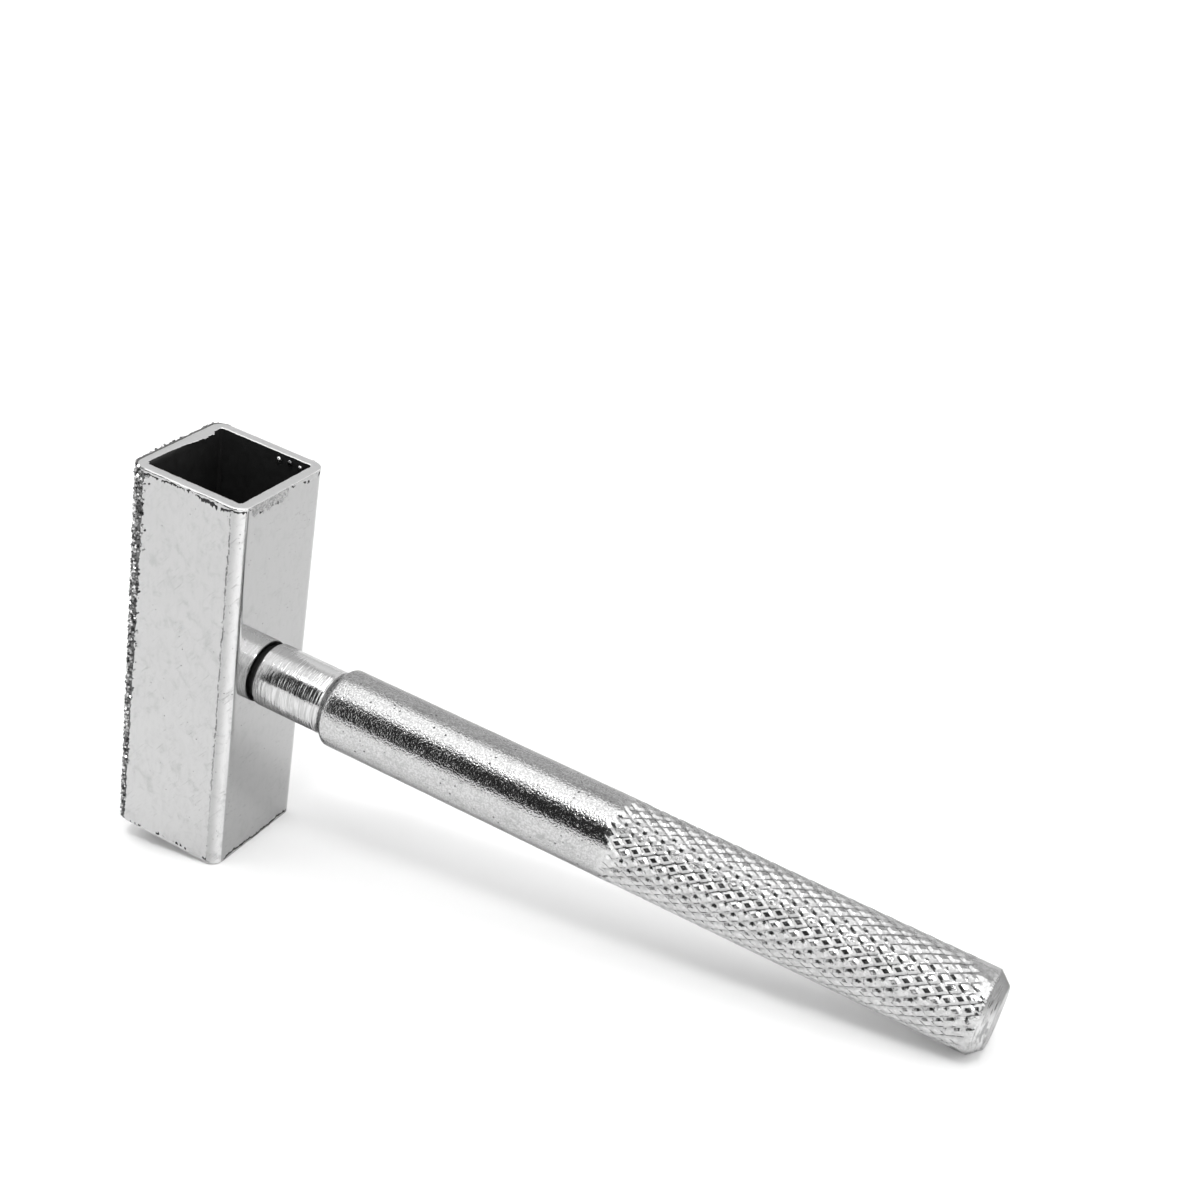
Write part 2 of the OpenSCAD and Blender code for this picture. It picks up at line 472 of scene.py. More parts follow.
def grip_material():
    """Plated smooth grip: bright with a fine uneven skin, small pits and rub marks."""
    g = Skin("plated_grip")
    peel = g.noise(1.0, 1, 0.5, vector=g.stretched(5.4, 4.6, 4.6), warp=0.1)
    broad = g.noise(0.8, 3, 0.5)
    pit = g.times(g.remap(g.cells(1.3), 0.22, 0.10), g.remap(g.noise(0.45, 3), 0.50, 0.58))
    rub = g.remap(g.noise(0.9, 6, 0.7, vector=g.stretched(0.6, 1.2, 1.2)), 0.50, 0.70)
    grain = g.remap(g.noise(4.5, 3, 0.6), 0.35, 0.65)
    tone = g.blend(grain, 0.43, 0.62)
    tone = g.blend(g.times(rub, 0.65), tone, 0.34)
    height = g.minus(g.plus(peel, g.times(broad, 0.3)), g.times(pit, 0.8))
    g.set(
        Base_Color=g.blend(pit, tone, 0.08),
        Metallic=1.0,
        Specular_Tint=grey(EDGE_TINT),
        Roughness=g.remap(peel, 0.3, 0.7, 0.09, 0.16),
        Normal=g.relief(height, 46.0),
    )
    return g.owner


def knurl_material():
    """Knurled grip: plated, with dirt in the roots of one set of grooves and a mottled skin on the tops."""
    g = Skin("plated_knurl")
    peel = g.noise(2.8, 1, 0.5)
    wear = g.remap(g.noise(0.4, 3), 0.4, 0.65)
    mottle = g.remap(g.noise(2.2, 4, 0.65), 0.35, 0.65)
    dirt = g.times(g.attribute("groove_dirt"), g.remap(g.noise(0.5, 3), 0.30, 0.60, 0.1, 0.4))
    tone = g.blend(wear, g.blend(mottle, 0.48, 0.60), g.blend(mottle, 0.54, 0.66))
    g.set(
        Base_Color=g.blend(dirt, tone, 0.07),
        Metallic=1.0,
        Specular_Tint=grey(EDGE_TINT),
        Roughness=g.remap(peel, 0.3, 0.7, 0.15, 0.26),
        Normal=g.relief(peel, 26.0),
    )
    return g.owner


def end_material():
    """Turned chamfer and end face: coarse rings with rub streaks, and painted shade that makes it darker
    towards the top.
    """
    g = Skin("turned_end")
    rings = g.noise(1.0, 1, 0.5, vector=g.stretched(3.6, 0.4, 0.4), warp=0.15)
    streaks = g.remap(g.noise(0.9, 5, 0.65, vector=g.stretched(3.6, 0.7, 0.7)), 0.44, 0.62)
    # Rub streaks, and painted shade that darkens the upper side
    stain_and_shade = g.most(g.times(streaks, 0.75), g.remap(g.split(g.point)[2], 1.8, 3.8, 0.0, 0.85))
    g.set(
        Base_Color=g.blend(stain_and_shade, 0.66, 0.24),
        Metallic=1.0,
        Specular_Tint=grey(EDGE_TINT),
        Roughness=g.remap(rings, 0.3, 0.7, 0.10, 0.22),
        Normal=g.relief(rings, 85.0),
    )
    return g.owner


# Tube: the sides are numbered counter-clockwise from the handle's side, and the back side is 1
HANDLE_SIDE, GRIT_SIDE, PLAIN_SIDE = 0, 2, 3
SIDE_STEPS = 88
ARC_STEPS = 12


def quarter_turned(k, x, y):
    """Point turned by k quarter turns."""
    c, s = ((1, 0), (0, 1), (-1, 0), (0, -1))[k]
    return (c * x - s * y, s * x + c * y)


def outline(half, radius):
    """Closed rounded square, counter-clockwise from the start of the handle's side.

    Gives the points, their outward normals, their sides and their places along the side.
    On the corner after side k the side is -1 - k.
    """
    flat = half - radius
    pts, nrm, side, place = [], [], [], []
    for k in range(4):
        for i in range(SIDE_STEPS):
            y = -flat + 2 * flat * i / SIDE_STEPS
            pts.append(quarter_turned(k, half, y))
            nrm.append(quarter_turned(k, 1, 0))
            side.append(k)
            place.append(y)
        for i in range(ARC_STEPS):
            a = math.pi / 2 * i / ARC_STEPS
            pts.append(quarter_turned(k, flat + radius * math.cos(a), flat + radius * math.sin(a)))
            nrm.append(quarter_turned(k, math.cos(a), math.sin(a)))
            side.append(-1 - k if i else k)
            place.append(flat + a * radius)
    return np.array(pts), np.array(nrm), np.array(side), np.array(place)


OUT_PTS, OUT_NRM, OUT_SIDE, OUT_PLACE = outline(FACE_X, CORNER_R)
IN_PTS = outline(FACE_X - TUBE_WALL, INNER_R)[0]
TURN = np.concatenate([[0], np.cumsum(np.linalg.norm(np.diff(OUT_PTS, axis=0), axis=1))])

# Stretches of the outline with their own wear: the smear and the chips on the handle's side, the frayed and
# the worn stretch of the inner edge above the grit
ON_HANDLE = OUT_SIDE == HANDLE_SIDE
ON_PLAIN = OUT_SIDE == PLAIN_SIDE
ON_GRIT = OUT_SIDE == GRIT_SIDE
FRONT_CORNER = (OUT_SIDE == -1 - PLAIN_SIDE) | (ON_PLAIN & (OUT_PLACE > 4.2))
SMEAR = ON_HANDLE * smooth(-FLAT, -FLAT + 0.8, OUT_PLACE) * (1 - smooth(-0.6, 0.8, OUT_PLACE))
CHIPS = ON_HANDLE * smooth(2.0, 5.6, OUT_PLACE)
FRAY = ON_GRIT * smooth(0.5, -3.6, OUT_PLACE) * smooth(-5.4, -4.9, OUT_PLACE)
WORN_IN = ON_GRIT * smooth(-2.0, 4.0, OUT_PLACE)

# Material slots of the tube
# CREASE_SHADE is the slot of near-black painted shade
PLATE, GROUND, BARE, CREASE_SHADE = range(4)


def rim_rings(end, seed, burr):
    """Rings across the upper (end 1) or the lower (end -1) rim, in the order in which the skin crosses it.

    Each one is its depth into the wall, its height, its push outwards and the slots of the band after it.
    """
    lip_h = np.clip(0.34 + 0.20 * ripple(TURN, seed, (9.0, 3.1, 1.1, 0.6), 0.4), 0.12, 0.7)
    lip = np.clip(0.05 + 0.05 * ripple(TURN, seed + 1, (7.0, 2.3, 0.9, 0.45), 0.4), 0.01, 0.14) * burr
    lip_in = 0.03 * (1 + ripple(TURN, seed + 3, (2.3, 0.9, 0.45), 0.4))
    # Stretches that get the band of painted shade under the burr
    dark = ripple(TURN, seed + 4, (4.0, 1.3, 0.7), 0.3) > (-0.60 if end > 0 else 0.45)
    dark &= ON_PLAIN | FRONT_CORNER | (ripple(TURN, seed + 5, (3.0, 0.9), 0.3) > 0.35)
    shade_h = 0.16 + 0.32 * np.abs(ripple(TURN, seed + 6, (1.5, 0.7, 0.4), 0.2))
    sag = np.abs(0.025 * ripple(TURN, seed + 2, (1.7, 0.8, 0.4), 0.3))
    if end > 0:
        # Painted shade: over this stretch of the plain side the dark band under the burr is taller
        stain_and_shade = smooth(1.5, 3.0, OUT_PLACE) * (1 - smooth(5.0, 6.0, OUT_PLACE))
        shade_h = shade_h + 0.30 * ON_PLAIN * stain_and_shade
        lip = lip + 0.09 * ON_PLAIN + 0.10 * FRONT_CORNER + 0.03 * SMEAR
        ground_over = SMEAR * (0.75 + 0.2 * ripple(TURN, 5, (3.0, 1.4)))
        lip_h = lip_h + 0.10 * FRONT_CORNER + ground_over + 0.3 * CHIPS
        frayed = FRAY * (1 + 0.3 * ripple(TURN, 31, (1.3, 0.6, 0.35), 0.3))
        lip_in = lip_in + 0.45 * frayed - 0.28 * WORN_IN
    else:
        # The tool stands on the lower edge of the handle's side, so no burr is left there, and painted
        # contact shade runs along that edge
        dark = dark | ON_HANDLE
        lip = lip * smooth(FACE_X - 0.2, FACE_X - 1.2, OUT_PTS[:, 0])

    # Painted shade: the band under the burr takes the near-black crease shade slot where dark is set
    shaded_slot = np.where(dark, CREASE_SHADE, PLATE)
    steps = [
        (0.0, 2.4, 0.0, PLATE),
        (0.0, lip_h + shade_h, 0.0, shaded_slot),
        (0.0, lip_h + 0.03, lip * 0.1, shaded_slot),
        (0.0, lip_h, lip * 0.8, PLATE),
        (0.0, lip_h * 0.72, lip, PLATE),
        (0.0, lip_h * 0.4, lip * 0.9, PLATE),
        (0.0, 0.09, lip * 0.65, GROUND),
        (0.05, 0.02, lip * 0.35, GROUND),
        (0.16, 0.0, 0.0, GROUND),
        (0.45, 0.0, 0.0, GROUND),
        (0.75, 0.0, 0.0, GROUND),
        (1.0, 0.0, -lip_in * 0.7, GROUND),
        (1.14, 0.015, -lip_in, GROUND),
        (TUBE_WALL, 0.07, -lip_in * 0.95, BARE),
        (TUBE_WALL, 0.16, -lip_in * 0.4, BARE),
        (TUBE_WALL, 0.35, 0.0, BARE),
        (TUBE_WALL, 0.8, 0.0, BARE),
        (TUBE_WALL, 2.0, 0.0, BARE),
        (TUBE_WALL, 6.0, 0.0, BARE),
    ]
    if end < 0:
        # This rim is crossed from the inside out, so each band takes the look of its outer ring
        slots = [PLATE] + [step[3] for step in steps[:-1]]
        steps = [step[:3] + (slot,) for step, slot in zip(steps, slots)][::-1]
    return [(inward, end * (RIM_Z - sag) - end * depth, push, slot) for inward, depth, push, slot in steps]


def build_tube():
    """The tube as one closed skin, out over both rims and back inside, with the hole for the stud."""
    rings = rim_rings(-1, 11, 0.5)
    rings += [(0.0, z, 0.0, PLATE) for z in np.arange(-RIM_Z + 3.0, RIM_Z - 2.6, 1.0)]
    rings += rim_rings(1, 23, 1.0)
    rings += [(TUBE_WALL, z, 0.0, BARE) for z in (12.0, 4.0, -4.0, -12.0)]

    n = len(OUT_PTS)
    pts, faces, slots = [], [], []
    for k, (inward, z, push, slot) in enumerate(rings):
        share = inward / TUBE_WALL
        xy = OUT_PTS * (1 - share) + IN_PTS * share + OUT_NRM * np.reshape(push, (-1, 1))
        pts.append(np.c_[xy, np.broadcast_to(z, n)])
        faces += quad_band(k * n, (k + 1) % len(rings) * n, n)
        slots.append(np.broadcast_to(slot, n))
    materials = [plated_material(), rim_material(), scale_material(), crease_shade_material()]
    tube = new_piece("plated_head_tube", np.concatenate(pts), faces, materials, np.concatenate(slots), 40.0)
    cut_stud_hole(tube)
    return tube


def cut_stud_hole(tube):
    """Takes the stud's hole out of the handle-side wall."""
    hole_r = STUD_R + STUD_CLEAR
    bm = bmesh.new()
    bmesh.ops.create_cone(bm, cap_ends=True, segments=48, radius1=hole_r, radius2=hole_r, depth=4.0)
    bmesh.ops.rotate(bm, verts=bm.verts, cent=(0, 0, 0), matrix=Matrix.Rotation(math.pi / 2, 3, "Y"))
    bmesh.ops.translate(bm, verts=bm.verts, vec=(FACE_X - TUBE_WALL / 2, 0, 0))
    local = np.array([v.co for v in bm.verts])
    for v, p in zip(bm.verts, at_rest(local)):
        v.co = p
    mesh = bpy.data.meshes.new("stud_hole")
    bm.to_mesh(mesh)
    bm.free()
    tool = add_object("stud_hole", mesh)
    cut = tube.modifiers.new("stud_hole", "BOOLEAN")
    cut.operation = "DIFFERENCE"
    cut.solver = "EXACT"
    cut.object = tool
    bpy.context.view_layer.update()
    done = bpy.data.meshes.new_from_object(tube.evaluated_get(bpy.context.evaluated_depsgraph_get()))
    tube.modifiers.clear()
    tube.data = done
    bpy.data.objects.remove(tool)


# Grit layer, laid out flat over the working face and part of the way round both corners:
# s runs across the face from one corner to the other, 0 in the middle
BOND_T = 0.30
BOND_EDGE_T = 0.03
BOND_COLS = 58
BOND_ROWS = 150
EDGE_WAVES = (5.0, 1.6, 0.7)
GRAIN_STEP = 0.42
GRAIN_ROW_STEP = GRAIN_STEP * 0.87
CUBE = np.array([(x, y, z) for x in (-1, 1) for y in (-1, 1) for z in (-1, 1)], float)
CUBE_FACES = np.array([(0, 1, 3, 2), (4, 6, 7, 5), (0, 4, 5, 1), (2, 3, 7, 6), (0, 2, 6, 4), (1, 5, 7, 3)])


def grit_edge(s, z):
    """How far from the middle the layer ends on the side of s, further round towards the upper rim."""
    up = np.clip(z / TUBE_LEN + 0.5, 0, 1)
    waver = np.where(s < 0, ripple(z, 81, EDGE_WAVES, 0.4), ripple(z, 82, EDGE_WAVES, 0.4))
    return FLAT + CORNER_R * np.radians(58 + 38 * up ** 0.6 + 6 * waver)


def on_skin(s, height):
    """Points across the head, at a height over the tube's skin."""
    a = np.clip((np.abs(s) - FLAT) / CORNER_R, 0, math.pi / 2)
    run = np.clip(np.abs(s) - FLAT - ARC, 0, None)
    nx, ny = -np.cos(a), np.sin(a)
    x = -FACE_X + CORNER_R + nx * CORNER_R + run
    y = np.minimum(np.abs(s), FLAT) + ny * CORNER_R
    side = np.where(s < 0, -1, 1)
    return np.stack([x + nx * height, side * (y + ny * height)], -1)


def thin_out(s):
    """Share of the full layer thickness: 1 on the face, less round the corners."""
    return 1 - (1 - WRAP_T / LAYER_T) * smooth(FLAT, FLAT + ARC * 0.8, np.abs(s))


def bond_sheet(rng):
    """Closed sheet of uneven thickness on the tube's skin, as points and faces."""
    cols = np.linspace(-1, 1, BOND_COLS)
    rows = np.linspace(-RIM_Z + 0.03, RIM_Z - 0.03, BOND_ROWS)
    pts = []
    for outer in (False, True):
        for z in rows:
            s = cols * grit_edge(cols, z)
            height = np.zeros(BOND_COLS)
            if outer:
                height = BOND_T * thin_out(s) * (1 + 0.25 * rng.uniform(-1, 1, BOND_COLS))
                height[0] = height[-1] = BOND_EDGE_T
            pts.append(np.c_[on_skin(s, height), np.full(BOND_COLS, z)])

    grid = np.arange(BOND_COLS * BOND_ROWS).reshape(BOND_ROWS, BOND_COLS)
    a = grid[:-1, :-1].ravel()
    inner = np.stack([a, a + 1, a + 1 + BOND_COLS, a + BOND_COLS], 1)
    border = np.concatenate([grid[:-1, 0], grid[-1, :-1], grid[:0:-1, -1], grid[0, :0:-1]])
    after = np.roll(border, -1)
    wall = np.stack([border, after, after + grid.size, border + grid.size], 1)
    return np.concatenate(pts), np.concatenate([inner, inner[:, ::-1] + grid.size, wall])


def grain_spots(rng):
    """Places (s, z) of the grains, and how far each lies past the sheet's edge, where they grow sparse."""
    half_rows = int((FLAT + ARC) / GRAIN_ROW_STEP) + 4
    spots = []
    for i in range(-half_rows, half_rows + 1):
        for j in range(int(TUBE_LEN / GRAIN_STEP) + 1):
            spots.append((i * GRAIN_ROW_STEP, -RIM_Z + 0.12 + (j + 0.5 * (i % 2)) * GRAIN_STEP))
    spots = np.array(spots) + rng.uniform(-0.16, 0.16, (len(spots), 2)) * GRAIN_STEP * 2
    s, z = spots.T
    past = np.abs(s) - (grit_edge(s, z) - 0.12)
    reach = 0.45 + 0.75 * smooth(-10, RIM_Z, z)
    keep = rng.uniform(size=len(spots)) > np.clip(past / reach, 0, 1) ** 0.35
    keep &= np.abs(z) < RIM_Z - 0.05
    return spots[keep], past[keep]


def random_turns(rng, count):
    """Rotation matrices in all directions."""
    quat = rng.normal(size=(count, 4))
    quat /= np.linalg.norm(quat, axis=1, keepdims=True)
    w, x, y, z = quat.T
    return np.stack([
        np.stack([1 - 2 * (y * y + z * z), 2 * (x * y - z * w), 2 * (x * z + y * w)], -1),
        np.stack([2 * (x * y + z * w), 1 - 2 * (x * x + z * z), 2 * (y * z - x * w)], -1),
        np.stack([2 * (x * z - y * w), 2 * (y * z + x * w), 1 - 2 * (x * x + y * y)], -1),
    ], 1)


def build_grit():
    """Bond sheet with thousands of separate grains sunk into it."""
    rng = np.random.RandomState(7)
    sheet, sheet_faces = bond_sheet(rng)
    spots, past = grain_spots(rng)
    count = len(spots)
    size = rng.uniform(0.10, 0.165, count)
    size *= 1 - 0.35 * smooth(-0.4, 0.3, past)
    height = BOND_T * thin_out(spots[:, 0]) * (past < 0.1) + rng.uniform(-0.02, 0.09, count)
    shape = CUBE[None] * (1 + rng.uniform(-0.3, 0.3, (count, 8, 3)))
    grains = np.einsum("nij,nkj->nki", random_turns(rng, count), shape) * size[:, None, None]
    grains += np.c_[on_skin(spots[:, 0], height), spots[:, 1]][:, None]
    grain_faces = (CUBE_FACES[None] + 8 * np.arange(count)[:, None, None] + len(sheet)).reshape(-1, 4)

    pts = np.concatenate([sheet, grains.reshape(-1, 3)])
    faces = np.concatenate([sheet_faces, grain_faces])
    slots = [0] * len(sheet_faces) + [1] * len(grain_faces)
    obj = new_piece("diamond_grit_face", pts, faces, [bond_material(), grain_material()], slots, 30.0)
    shade = np.repeat(rng.uniform(size=count) ** 1.7, 8)
    mark_points(obj, "grain_shade", np.concatenate([np.full(len(sheet), 0.3), shade]))
    return obj


# Knurl: a net of small steps between the groove lines, the same in every diamond.
# A step of 0 is the groove's middle and 0.5 the top's. Grooves A are flat and hold the dirt,
# grooves B are V-shaped.
NET = (0.0, 0.035, 0.28, 0.5, 0.72, 0.965)
DEPTH_A = (1.0, 1.0, 0.0, 0.0, 0.0, 1.0)
DEPTH_B = (1.0, 0.875, 0.0, 0.0, 0.0, 0.875)
ROOT_A = (1.0, 0.8, 0.0, 0.0, 0.0, 0.8)
STEPS = len(NET)
AROUND = STEPS * KNURL_STARTS
ROWS_BEFORE = 39
ROWS_AFTER = 1
FIRST_RING = -ROWS_BEFORE * STEPS
LAST_RING = ROWS_AFTER * STEPS

# Small differences from groove to groove and from top to top
GROOVE_A = 1 + 0.05 * np.random.RandomState(3).uniform(-1, 1, KNURL_STARTS)
GROOVE_B = 1 + 0.05 * np.random.RandomState(4).uniform(-1, 1, KNURL_STARTS)
TOP_LIFT = 0.008 * np.random.RandomState(5).uniform(-1, 1, (KNURL_STARTS, KNURL_STARTS))

# Material slots of the handle
# GAP_SHADE is near-black painted shade in the gap at the shank
END_SKIN, SHANK_SKIN, GRIP_SKIN, KNURL_SKIN, GAP_SHADE = range(5)

# Rounded edge and flat of the end face: station and radius
TAIL = (
    (END_X - 0.12, END_R + 0.11),
    (END_X - 0.03, END_R - 0.02),
    (END_X, END_R - 0.15),
    (END_X, 2.4),
    (END_X, 1.2),
)


def net_value(index):
    return index // STEPS + np.take(NET, index % STEPS)


def net_ring(d):
    """Ring d of the net: its places across grooves A and B, its angles and its stations."""
    i = np.arange(AROUND)
    u, v = net_value(i), net_value(i - d)
    angle = -math.pi / 2 + (u + v - 1) * math.pi / KNURL_STARTS
    return u, v, angle, CHAMFER_X + (u - v) * KNURL_PITCH / 2


def ring_points(x, r, angle):
    return np.stack([np.broadcast_to(x, angle.shape), r * np.cos(angle), r * np.sin(angle)], 1)


def cone_r(x):
    """Radius of the end's chamfer at a station."""
    return END_R + (END_X - x) / CHAMFER_RUN


def knurl_ring(d):
    """Points of ring d and the dirt at each. The knurl runs furthest on the viewer's side."""
    u, v, angle, x = net_ring(d)
    step_a = np.arange(AROUND) % STEPS
    step_b = (np.arange(AROUND) - d) % STEPS
    begin = KNURL_X + 0.5 + 0.55 * ripple(angle * ROD_R, 61, (10.0, 5.2, 2.4), 0.5)
    up_round = 1 - np.cos(math.pi - angle - math.radians(20))
    stop = CHAMFER_X + 0.6 - np.minimum(3.0 * up_round, 3.0)
    fade = 1 - smooth(stop - 1.6, stop + 0.4, x)
    on_a = smooth(begin - 0.2, begin + 0.35, x) * fade
    on_b = smooth(begin - 0.9, begin - 0.3, x) * fade * (1 - 0.35 * smooth(KNURL_X, CHAMFER_X, x))
    cut_a = np.take(DEPTH_A, step_a) * GROOVE_A[np.round(u).astype(int) % KNURL_STARTS] * on_a
    cut_b = np.take(DEPTH_B, step_b) * GROOVE_B[np.round(v).astype(int) % KNURL_STARTS] * on_b
    deep = np.maximum(cut_a, cut_b)
    skim = KNURL_SKIM * np.maximum(on_a, smooth(CHAMFER_X - 7.0, CHAMFER_X - 3.0, x))
    lift = TOP_LIFT[np.floor(u).astype(int) % KNURL_STARTS, np.floor(v).astype(int) % KNURL_STARTS]
    r = ROD_R - skim - (KNURL_DEPTH - KNURL_SKIM) * deep + lift * (1 - deep) * on_a
    return ring_points(x, np.minimum(r, cone_r(x)), angle), np.take(ROOT_A, step_a) * on_a


def turned_rings():
    """Station, radius and slot of the turned rings, from the peened stud to the end of the smooth grip."""
    inner_face = FACE_X - TUBE_WALL
    neck_end = FACE_X + NECK_LEN
    rings = [
        (inner_face - PEEN_H, 1.2, END_SKIN),
        (inner_face - PEEN_H + 0.02, PEEN_TOP_R - 0.3, END_SKIN),
        (inner_face - PEEN_H + 0.15, PEEN_TOP_R + 0.1, END_SKIN),
        (inner_face - 0.45, PEEN_R - 0.45, END_SKIN),
        (inner_face - 0.12, PEEN_R - 0.03, END_SKIN),
        (inner_face, PEEN_R, END_SKIN),
        (inner_face, STUD_R, END_SKIN),
        # The neck's gap gets near-black painted shade
        (FACE_X, STUD_R, GAP_SHADE),
        (FACE_X, NECK_R, GAP_SHADE),
        (neck_end, NECK_R, GAP_SHADE),
        (neck_end, SHANK_R - SHANK_BREAK, SHANK_SKIN),
        (neck_end + SHANK_BREAK * 0.6, SHANK_R - 0.02, SHANK_SKIN),
    ]
    rng = np.random.RandomState(9)
    shank_x = np.arange(neck_end + 0.16, SHOULDER_X - 0.05, 0.115)
    shank_r = SHANK_R + 0.006 * rng.uniform(-1, 1, len(shank_x))
    near_shoulder = smooth(SHOULDER_X - 2.0, SHOULDER_X - 0.4, shank_x)
    shank_r -= near_shoulder * 0.03 * (rng.uniform(size=len(shank_x)) > 0.6)
    rings += [(x, r, SHANK_SKIN) for x, r in zip(shank_x, shank_r)]
    for t in np.linspace(0, 1, 12):
        x = SHOULDER_X - 0.05 + t * (SHOULDER_LEN + 0.25)
        rings.append((x, SHANK_R + (ROD_R - SHANK_R) * smooth(-0.05, 1.0, t), GRIP_SKIN))
    first_net_x = CHAMFER_X - ROWS_BEFORE * KNURL_PITCH / 2
    for x in np.arange(GRIP_X + 0.7, first_net_x - 0.3, 0.6):
        rings.append((x, ROD_R + 0.006 * ripple(x, 71, (9.0, 3.0)), GRIP_SKIN))
    return rings


def net_slot(x):
    """Slot of the net's faces at a station."""
    if cone_r(x) < CREST_R + 0.002:
        return END_SKIN
    return GRIP_SKIN if x < KNURL_X - 0.6 else KNURL_SKIN


def build_handle():
    """The whole bar as one closed skin from the peened stud to the chamfered end."""
    turned = turned_rings()
    net, dirt = zip(*[knurl_ring(d) for d in range(FIRST_RING, LAST_RING + 1)])
    first_angle, last_angle = net_ring(FIRST_RING)[2], net_ring(LAST_RING)[2]
    rings = [ring_points(x, r, first_angle) for x, r, _ in turned]
    rings += net
    rings += [ring_points(x, r, last_angle) for x, r in TAIL]
    hubs = np.array([(turned[0][0], 0, 0), (END_X, 0, 0)])
    pts = np.concatenate(rings + [hubs])

    hub = len(pts) - 2
    faces = [(hub, (i + 1) % AROUND, i) for i in range(AROUND)]
    slots = [END_SKIN] * AROUND
    for k, (_, _, slot) in enumerate(turned):
        faces += quad_band(k * AROUND, (k + 1) * AROUND, AROUND)
        slots += [slot] * AROUND

    # Each face of the net spans three rings, apart from the triangles along its two borders
    net_start = len(turned) * AROUND
    for k in range(len(net)):
        for i in range(AROUND):
            here = net_start + k * AROUND + i
            there = net_start + k * AROUND + (i + 1) % AROUND
            before = [here - AROUND] if k > 0 else []
            after = [there + AROUND] if k < len(net) - 1 else []
            faces.append([here] + before + [there] + after)
            slots.append(net_slot(pts[here, 0]))

    tail_start = net_start + (len(net) - 1) * AROUND
    for k in range(len(TAIL)):
        faces += quad_band(tail_start + k * AROUND, tail_start + (k + 1) * AROUND, AROUND)
    last = tail_start + len(TAIL) * AROUND
    faces += [(hub + 1, last + i, last + (i + 1) % AROUND) for i in range(AROUND)]
    slots += [END_SKIN] * (len(TAIL) + 1) * AROUND

    materials = [end_material(), shank_material(), grip_material(), knurl_material(), crease_shade_material()]
    obj = new_piece("knurled_handle", pts, faces, materials, slots, 22.0)
    roots = np.zeros(len(pts))
    roots[net_start:net_start + len(net) * AROUND] = np.concatenate(dirt)
    mark_points(obj, "groove_dirt", roots)
    return obj


# Three droplets of plating on the inner wall, just under the upper rim: place across the wall, depth,
# radius and slot, 0 for the lit copy of the bead material and 1 for the copy with painted shade
BEADS = ((2.1, 0.95, 0.36, 0), (3.7, 0.80, 0.34, 1), (5.2, 0.95, 0.31, 0))


def build_beads():
    """The droplets, sunk into the wall, as one piece."""
    bm = bmesh.new()
    wall_y = FACE_X - TUBE_WALL
    slots = []
    for x, depth, r, slot in BEADS:
        made = bmesh.ops.create_icosphere(bm, subdivisions=3, radius=r)
        slots += [slot] * (len(bm.faces) - len(slots))
        bmesh.ops.scale(bm, verts=made["verts"], vec=(1.0, 0.8, 1.15))
        bmesh.ops.translate(bm, verts=made["verts"], vec=(x, wall_y - 0.55 * r, RIM_Z - depth))
    local = np.array([v.co for v in bm.verts])
    faces = [[v.index for v in f.verts] for f in bm.faces]
    bm.free()
    materials = [bead_material("bright_bead", 0.8), bead_material("dull_bead", 0.22)]
    return new_piece("plating_beads", local, faces, materials, slots)


# Table: radius and height of its rings in metres, points round a ring, grey, and a weak glow
# for camera, mirror and transmission rays only
TABLE_RINGS = ((0.1, 0.0), (0.4, 0.0), (0.9, 0.0), (1.6, 0.0), (1.9, 0.04), (2.2, 0.16), (2.5, 0.40))
TABLE_STEPS = 96
TABLE_TONE = 0.93
TABLE_GLOW = 0.04


def table_material():
    g = Nodes(bpy.data.materials.new("pale_table"), "Principled BSDF")
    path = g.nodes.new("ShaderNodeLightPath").outputs
    seen = g.most(path["Is Camera Ray"], path["Is Glossy Ray"], path["Is Transmission Ray"])
    g.set(
        Base_Color=grey(TABLE_TONE),
        Roughness=0.9,
        Specular_IOR_Level=0.0,
        Emission_Color=grey(1.0),
        Emission_Strength=g.times(seen, TABLE_GLOW),
    )
    return g.owner


def build_floor():
    """Wide pale table that curves up far away."""
    n = TABLE_STEPS
    turns = [2 * math.pi * k / n for k in range(n)]
    pts = [(0.0, 0.0, 0.0)]
    faces = [(0, 1 + k, 1 + (k + 1) % n) for k in range(n)]
    for r, h in TABLE_RINGS:
        pts += [(r * math.cos(a), r * math.sin(a), h) for a in turns]
    for ring in range(len(TABLE_RINGS) - 1):
        faces += quad_band(1 + (ring + 1) * n, 1 + ring * n, n)
    mesh = bpy.data.meshes.new("table")
    mesh.from_pydata(pts, [], faces)
    mesh.polygons.foreach_set("use_smooth", np.ones(len(mesh.polygons), bool))
    mesh.materials.append(table_material())
    table = add_object("table", mesh)


# Studio: brightness of each part of the room, and the way to the key light
ROOM_FRONT = 0.035
ROOM_SIDE = 1.9
ROOM_BACK = 0.95
ROOM_GAP = 0.60
ROOM_WING = 1.3
END_LIGHT = 3.0
PANEL_LIGHT = 2.2
PANEL_X, PANEL_Y = -0.45, -0.03
KEY_LIGHT = 27.0
KEY_FROM = (0.22, -0.36, 0.92)
KEY_EDGE = math.cos(math.radians(7.5))
KEY_CORE = math.cos(math.radians(5))
ROOM_LEVEL = 0.78


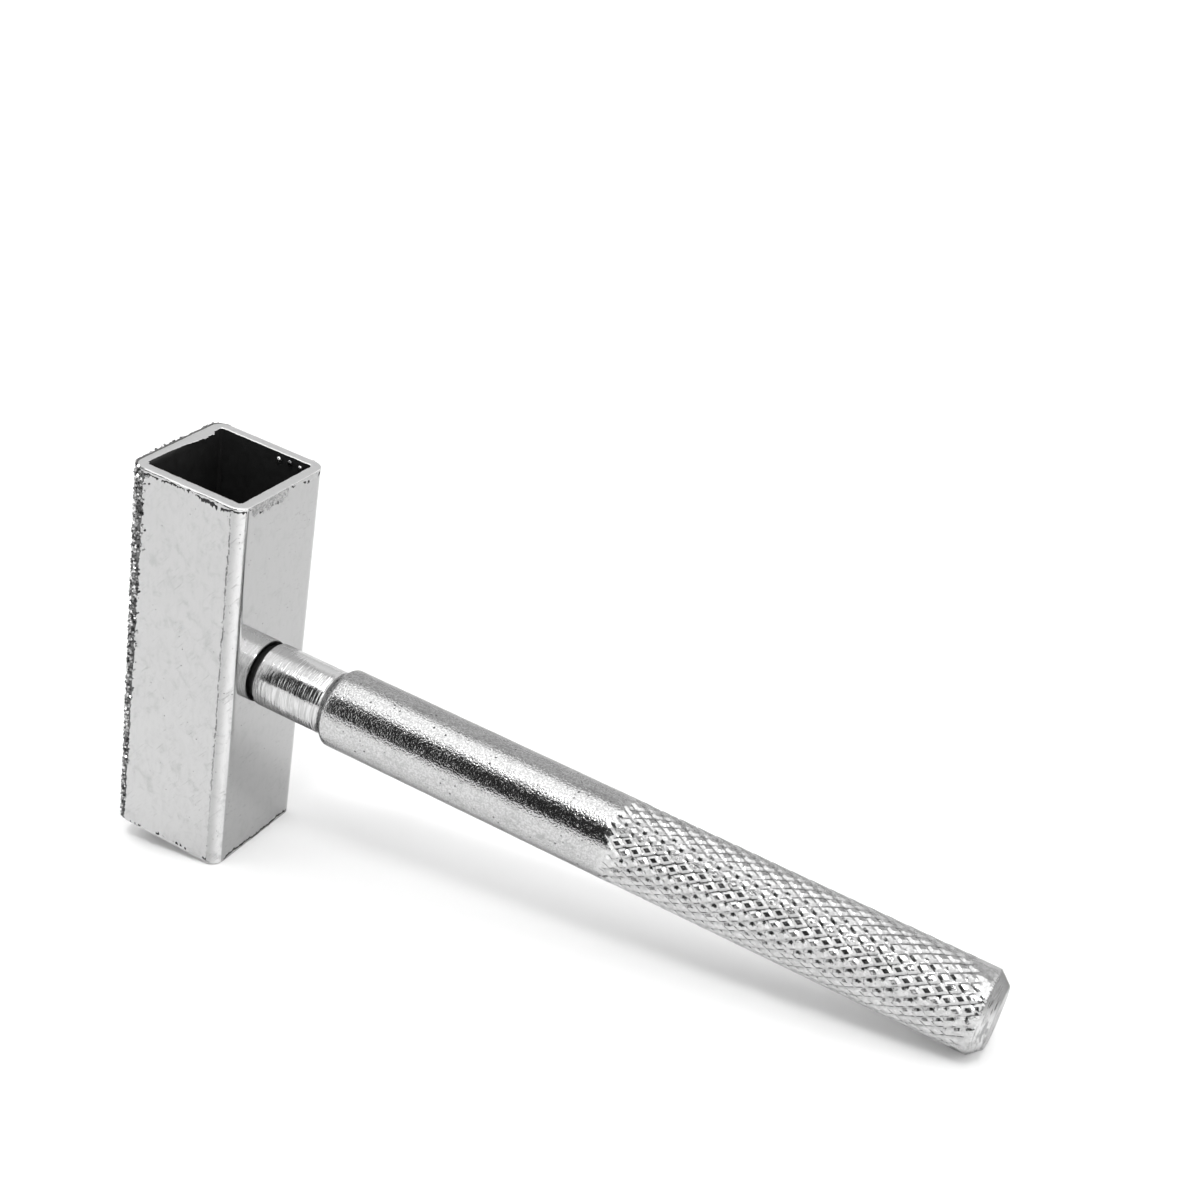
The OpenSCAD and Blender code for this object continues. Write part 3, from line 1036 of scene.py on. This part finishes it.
def build_room():
    """Studio light: a panel overhead, a key light on the viewer's side, grey behind and dark in front."""
    g = Nodes(bpy.data.worlds.new("studio"), "Background")
    bpy.context.scene.world = g.owner
    coord = g.nodes.new("ShaderNodeTexCoord")
    x, y, z = g.split(coord.outputs["Generated"])

    # Bright walls on the viewer's right and left, with the dark room between them
    right = g.times(g.remap(x, 0.18, 0.30), g.remap(x, 0.66, 0.76, 1.0, 0.2), g.remap(z, 0.02, 0.12))
    left = g.times(g.remap(x, -0.44, -0.56), g.remap(x, -0.72, -0.82, 1.0, 0.1))
    left = g.times(left, g.remap(z, 0.22, 0.42, 0.2, 1.0), g.remap(z, 0.0, 0.08))
    front = g.between(g.most(right, left), ROOM_FRONT, ROOM_SIDE)

    # Grey room behind, darker high up, with a lighter wing on the right
    behind = g.between(g.remap(z, 0.66, 0.82), ROOM_BACK, ROOM_GAP)
    behind = g.between(g.remap(x, 0.22, 0.34), behind, ROOM_WING)
    room = g.between(g.remap(y, -0.05, 0.30), front, behind)

    # Level panel overhead, placed on a plane one unit up
    up = g.most(z, 0.05)
    across = g.apart(g.math("DIVIDE", y, up), PANEL_Y)
    along = g.apart(g.math("DIVIDE", x, up), PANEL_X)
    panel = g.times(g.remap(across, 0.52, 0.44), g.remap(along, 0.86, 0.70))
    room = g.between(panel, room, PANEL_LIGHT)

    # Light past the handle's free end
    past_end = g.times(g.remap(x, 0.62, 0.70), g.remap(x, 0.92, 0.86))
    past_end = g.times(past_end, g.remap(g.apart(y, 0.0), 0.42, 0.32), g.remap(z, 0.36, 0.44))
    room = g.between(past_end, room, END_LIGHT)

    # Small round key light
    toward = Vector(KEY_FROM).normalized()
    facing = g.plus(g.times(x, toward.x), g.times(y, toward.y), g.times(z, toward.z))
    key = g.remap(facing, KEY_EDGE, KEY_CORE, 0.0, KEY_LIGHT)
    g.set(Color=g.plus(room, key), Strength=ROOM_LEVEL)


# Camera, fitted to the photographed view: focal length in pixels of the 1200 pixel frame, place in
# millimetres from the head's lower edge, and turn, tilt and roll in radians
FRAME_PX = 1200
FOCAL_PX = 1815.99
SENSOR_MM = 36.0
CAM_FROM_EDGE = (138.318, -156.015, 126.520)
CAM_TURN, CAM_TILT, CAM_ROLL = -0.5024, 0.43245, -0.02963


def build_camera():
    edge_x = REST_X + COS_L * FACE_X - SIN_L * RIM_Z
    place = Vector((edge_x + CAM_FROM_EDGE[0], CAM_FROM_EDGE[1], CAM_FROM_EDGE[2])) * MM
    sin_turn, cos_turn = math.sin(CAM_TURN), math.cos(CAM_TURN)
    level = math.cos(CAM_TILT)
    ahead = Vector((level * sin_turn, level * cos_turn, -math.sin(CAM_TILT)))
    right = Vector((cos_turn, -sin_turn, 0.0))
    up = right.cross(ahead)
    rolled_right = math.cos(CAM_ROLL) * right + math.sin(CAM_ROLL) * up
    rolled_up = math.cos(CAM_ROLL) * up - math.sin(CAM_ROLL) * right
    data = bpy.data.cameras.new("view")
    data.sensor_width = SENSOR_MM
    data.lens = SENSOR_MM * FOCAL_PX / FRAME_PX
    data.clip_start = 0.01
    cam = add_object("view", data)
    facing = Matrix((rolled_right, rolled_up, -ahead)).transposed()
    cam.matrix_world = Matrix.Translation(place) @ facing.to_4x4()
    bpy.context.scene.camera = cam


bpy.context.scene.view_settings.view_transform = "Standard"
build_camera()
build_room()
build_floor()

for piece, node, slot in (
    (build_tube(), "head_tube", "plated_tube"),
    (build_grit(), "diamond_layer", "diamond_grit"),
    (build_handle(), "handle", "turned_steel"),
):
    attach(piece, "root")
    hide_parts(node)
beads = build_beads()
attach(beads, "root")
